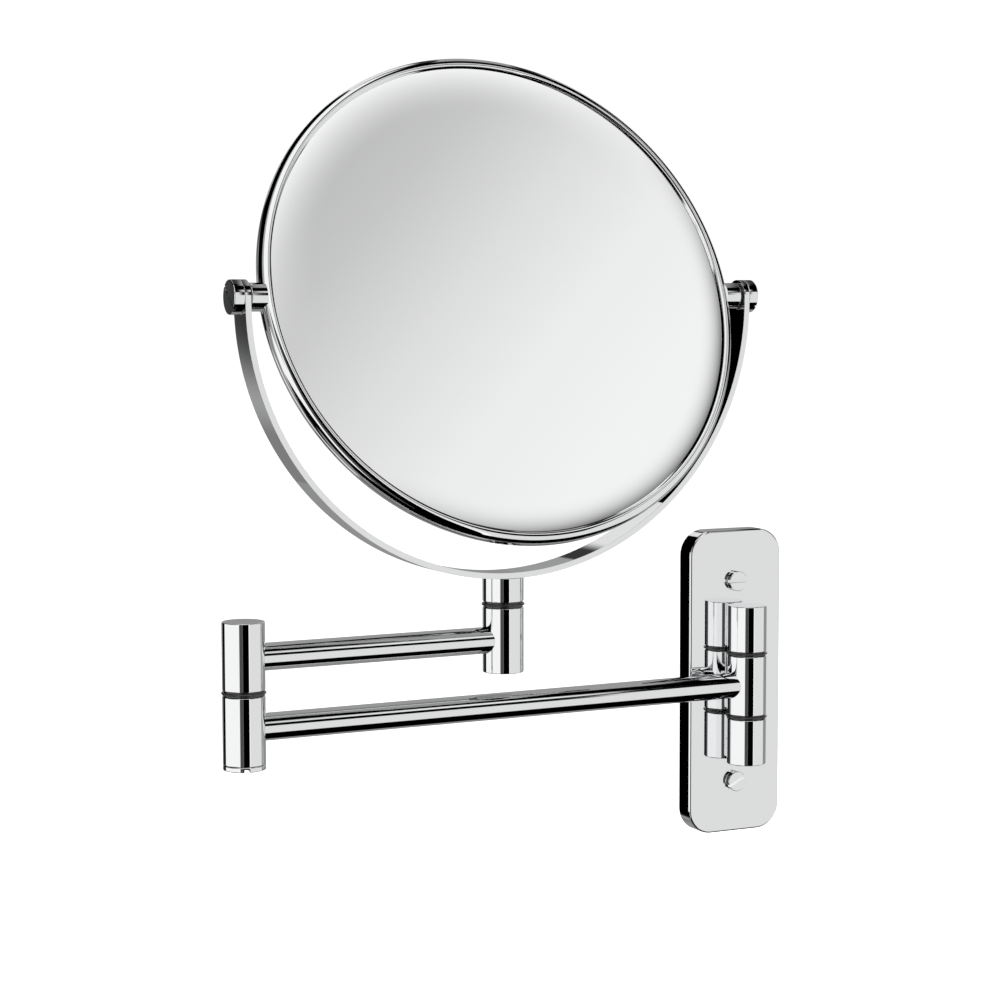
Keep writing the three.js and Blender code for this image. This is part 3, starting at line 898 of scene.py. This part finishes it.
KNOB_CARDS = (
    ("roll", 31, 95, 1.5, 0.0),
    ("roll", 95, 190, 2.0, 0.04),
)
HIGH_CARDS = (
    ("roll", 13, 34, 1.5, 0.0),
    ("roll", 34, 49, 1.5, 0.5),
    ("roll", 49, 80, 2.0, 0.0),
    ("roll", 80, 190, 2.0, 0.34),
)
LOWER_CARDS = (("azimuth", -160, -60, 2.0, 0.0),)
LOW_CARDS = (
    ("roll", -112, -46, 1.5, 0.0),
    ("roll", -190, -112, 6.0, 0.27),
)
measure = {"azimuth": azimuth, "roll": roll}


def lay_cards(level, cards, region=None, x0=-900):
    for i, (by, low, high, soft, bright) in enumerate(cards):
        place = (x0 + 450 * i, 0)
        mask = world_band(tree, measure[by], low, high, soft, place)
        if region is not None:
            mask = calculate(tree, "MULTIPLY", mask, region, (place[0] + 250, -200))
        mix = add(tree, "ShaderNodeMix", (place[0] + 300, 100), data_type="FLOAT")
        mix.inputs[3].default_value = bright
        tree.links.new(mask, mix.inputs[0])
        tree.links.new(level, mix.inputs[2])
        level = mix.outputs[0]
    return level


OPEN_END = 200  # degrees, past the end of any measure
UPPER_FROM, TOP_FROM = 9, 33
LOWER_TO, BELOW_TO = -16, -35
KNOBS_FROM, KNOBS_TO = 15, 36
ARMS_FROM, ARMS_TO = 19.6, 31.1

level = lay_cards(level, CARDS)
upper_half = world_band(tree, height, UPPER_FROM, OPEN_END, 2, (-900, 900))
top = world_band(tree, height, TOP_FROM, OPEN_END, 1, (-900, 1100))
sideways = calculate(tree, "ARCSINE", x, 0.0, (-1200, 1300))
over_the_knobs = world_band(tree, sideways, KNOBS_FROM, KNOBS_TO, 1.5, (-900, 1300))
over_the_arms = world_band(tree, sideways, ARMS_FROM, ARMS_TO, 0.3, (-900, 1500))
above_knobs = calculate(tree, "MULTIPLY", upper_half, over_the_knobs, (-500, 1100))
above_arms = calculate(tree, "MULTIPLY", upper_half, over_the_arms, (-500, 1500))
lower_half = world_band(tree, height, -OPEN_END, LOWER_TO, 2, (-900, -1300))
below = world_band(tree, height, -OPEN_END, BELOW_TO, 2, (-900, -900))
for cards, region, x0 in (
    (UPPER_CARDS, upper_half, 2100),
    (TOP_CARDS, top, 2300),
    (KNOB_CARDS, above_knobs, 2400),
    (HIGH_CARDS, above_arms, 2500),
    (LOWER_CARDS, lower_half, 4300),
    (LOW_CARDS, below, 4500),
):
    level = lay_cards(level, cards, region, x0)

# %% [markdown]
# A large round diffuser hangs where the mirror looks. Its light isn't even: it gets brighter from the upper
# left to the lower right, glows along its upper left edge and falls off along the lower right. That soft
# fall is what tells the eye that the big pale disc is glass.

# %% Diffuser
CAMERA_PLACE = Vector((-0.5491, -0.9164, 0.1687))
LIGHT_STOPS = ((0.12, 0.555), (0.22, 0.6), (0.42, 0.76), (0.62, 0.885), (0.85, 0.94))
LEAN = -0.35  # turns the glow from the top towards the upper left
GLOW_FROM, GLOW_POWER, GLOW_LEVEL = 0.82, 1.6, 0.96
SHADE_FROM, SHADE_POWER, SHADE_LEVEL = 0.88, 2.6, 0.2
SURROUND_FROM, SURROUND_TO = 1.0, 1.02
FADE_FROM, FADE_TO = 1.07, 1.1

glass_up = Vector((0, glass_normal.z, -glass_normal.y))
to_eye = CAMERA_PLACE - (pivot + glass_normal * GLASS_FACE)
eye_distance = to_eye.dot(glass_normal)
diffuser_across = -to_eye.x / eye_distance
diffuser_up = -to_eye.dot(glass_up) / eye_distance
diffuser_reach = seen_radius / eye_distance


def along(way, place):
    """How far the ray's direction runs along a way in the upright plane of Y and Z."""
    y_part = calculate(tree, "MULTIPLY", y, way.y, place)
    z_part = calculate(tree, "MULTIPLY", z, way.z, (place[0], place[1] - 150))
    return calculate(tree, "ADD", y_part, z_part, (place[0] + 150, place[1]))


def reach(value, centre, size, place):
    shifted = calculate(tree, "SUBTRACT", value, centre, place)
    return calculate(tree, "DIVIDE", shifted, size, (place[0] + 150, place[1]))


def total(a, b, place):
    return calculate(tree, "ADD", a, b, place)


out = along(glass_normal, (3400, 1200))
rise = along(glass_up, (3400, 900))
across = reach(calculate(tree, "DIVIDE", x, out, (3700, 1200)), diffuser_across, diffuser_reach, (4000, 1200))
upward = reach(calculate(tree, "DIVIDE", rise, out, (3700, 1000)), diffuser_up, diffuser_reach, (4000, 1000))
across_2 = calculate(tree, "MULTIPLY", across, across, (4400, 1200))
upward_2 = calculate(tree, "MULTIPLY", upward, upward, (4400, 1000))
from_middle = calculate(tree, "SQRT", total(across_2, upward_2, (4600, 1100)), 0.0, (4800, 1100))
fall = calculate(tree, "SUBTRACT", across, upward, (4400, 1400))
ramp = add(tree, "ShaderNodeValToRGB", (4800, 1500))
stops = ramp.color_ramp.elements
while len(stops) < len(LIGHT_STOPS):
    stops.new(1.0)
for stop, (place, bright) in zip(stops, LIGHT_STOPS):
    stop.position = place
    stop.color = (bright, bright, bright, 1)
ramp_place = spread(tree, fall, -1.5, 1.5, 0.0, 1.0, (4600, 1500))
tree.links.new(ramp_place, ramp.inputs[0])
soft_light_level = ramp.outputs[0]
lean = calculate(tree, "MULTIPLY", across, LEAN, (4400, 1800))
top_edge = spread(tree, total(upward, lean, (4600, 1800)), 0.1, 0.85, 0.0, 1.0, (4800, 1800))
lower_right = spread(tree, fall, 0.1, 1.2, 0.0, 1.0, (4800, 2100))
outer_glow = spread(tree, from_middle, GLOW_FROM, 1.0, 0.0, 1.0, (5000, 1800))
outer_shade = spread(tree, from_middle, SHADE_FROM, 1.0, 0.0, 1.0, (5000, 2100))
glow_rise = calculate(tree, "POWER", outer_glow, GLOW_POWER, (5200, 1800))
shade_rise = calculate(tree, "POWER", outer_shade, SHADE_POWER, (5200, 2100))
glow = calculate(tree, "MULTIPLY", top_edge, glow_rise, (5400, 1800))
shade = calculate(tree, "MULTIPLY", lower_right, shade_rise, (5400, 2100))
surround = spread(tree, from_middle, SURROUND_FROM, SURROUND_TO, 0.0, 1.0, (5400, 2300))


def blend_in(level, amount, bright, place):
    mix = add(tree, "ShaderNodeMix", place, data_type="FLOAT")
    tree.links.new(amount, mix.inputs[0])
    tree.links.new(level, mix.inputs[2])
    if isinstance(bright, float):
        mix.inputs[3].default_value = bright
    else:
        tree.links.new(bright, mix.inputs[3])
    return mix.outputs[0]


soft_light_level = blend_in(soft_light_level, glow, GLOW_LEVEL, (5400, 1700))
soft_light_level = blend_in(soft_light_level, shade, SHADE_LEVEL, (5600, 1700))
soft_light_level = blend_in(soft_light_level, surround, 1.0, (5700, 1700))
inside = spread(tree, from_middle, FADE_FROM, FADE_TO, 1.0, 0.0, (5200, 1200))
facing = calculate(tree, "GREATER_THAN", out, 0.0, (5200, 1000))
inside = calculate(tree, "MULTIPLY", inside, facing, (5400, 1100))
level = blend_in(level, inside, soft_light_level, (5800, 800))

tent = add(tree, "ShaderNodeBackground", (6000, 0))
tree.links.new(level, tent.inputs["Strength"])
plain_white = add(tree, "ShaderNodeBackground", (6000, -200), Strength=1.05)
plain_white.inputs["Color"].default_value = WHITE
tent.inputs["Color"].default_value = WHITE
rays = add(tree, "ShaderNodeLightPath", (5800, 300))
seen = calculate(tree, "MAXIMUM", rays.outputs["Is Camera Ray"], rays.outputs["Is Diffuse Ray"], (6000, 300))
pick_sky = add(tree, "ShaderNodeMixShader", (6200, 0))
sky = add(tree, "ShaderNodeOutputWorld", (6400, 0))
tree.links.new(seen, pick_sky.inputs[0])
tree.links.new(tent.outputs[0], pick_sky.inputs[1])
tree.links.new(plain_white.outputs[0], pick_sky.inputs[2])
tree.links.new(pick_sky.outputs[0], sky.inputs["Surface"])
all_cards = CARDS + UPPER_CARDS + TOP_CARDS + KNOB_CARDS + HIGH_CARDS + LOWER_CARDS + LOW_CARDS
print("tent cards:", len(all_cards))

# %% [markdown]
# ## Floor and lights
# The object hangs on a wall, so the floor is well below it. It is a wide pale sheet lit until it is nearly
# white. It isn't part of the object, and it is kept out of the chrome.

# %% Floor
FLOOR_DROP = 0.35
floor_z = cad_low.z - FLOOR_DROP
clear_selection()
bpy.ops.mesh.primitive_plane_add(size=30, location=(0, 0, floor_z))
floor = settle(bpy.context.object, "studio_floor")
paper, tree, shader = blank_finish("pale_paper", "floor", Roughness=0.9, Emission_Strength=0.12)
shader.inputs["Emission Color"].default_value = WHITE
fibre = stretched_noise(tree, 4, EVEN, 3, (-900, 0))
tone = spread(tree, fibre, 0.3, 0.7, 0.975, 0.99, (-600, 0))
tree.links.new(tone, shader.inputs["Base Color"])
floor.data.materials.append(paper)
floor.visible_glossy = False


# %% Lights
def soft_light(name, place, target, size, watts):
    lamp = bpy.data.lights.new(name, "AREA")
    lamp.shape = "SQUARE"
    lamp.size = size
    lamp.energy = watts
    holder = bpy.data.objects.new(name, lamp)
    bpy.context.scene.collection.objects.link(holder)
    holder.location = place
    holder.rotation_euler = (Vector(target) - Vector(place)).to_track_quat("-Z", "Y").to_euler()
    holder.visible_glossy = False
    return holder


look = (cad_low + cad_high) / 2
soft_light("overhead_light", (-0.4, -0.8, 2.6), look, 2.5, 110)
soft_light("front_light", (-1.8, -2.2, 1.2), look, 1.6, 25)

# %% [markdown]
# ## The camera
# The camera stands to the left of the object, about a metre away, and looks slightly down on it. The lens is
# a short telephoto.

# %% Camera
camera_data = bpy.data.cameras.new("camera")
camera = bpy.data.objects.new("camera", camera_data)
bpy.context.scene.collection.objects.link(camera)
LENS_MM, SENSOR_MM = 88.6, 36
camera_data.lens = LENS_MM
camera_data.sensor_width = SENSOR_MM
CAMERA_TURN = math.radians(-25.43)
CAMERA_DOWN = math.radians(4.63)
CAMERA_ROLL = math.radians(0.1)
camera.location = CAMERA_PLACE
camera.rotation_euler = (math.pi / 2 - CAMERA_DOWN, CAMERA_ROLL, CAMERA_TURN)
camera_data.clip_start = 0.05
camera_data.clip_end = 60
bpy.context.scene.camera = camera
bpy.context.scene.view_settings.view_transform = "Standard"
bpy.context.scene.view_settings.look = "None"
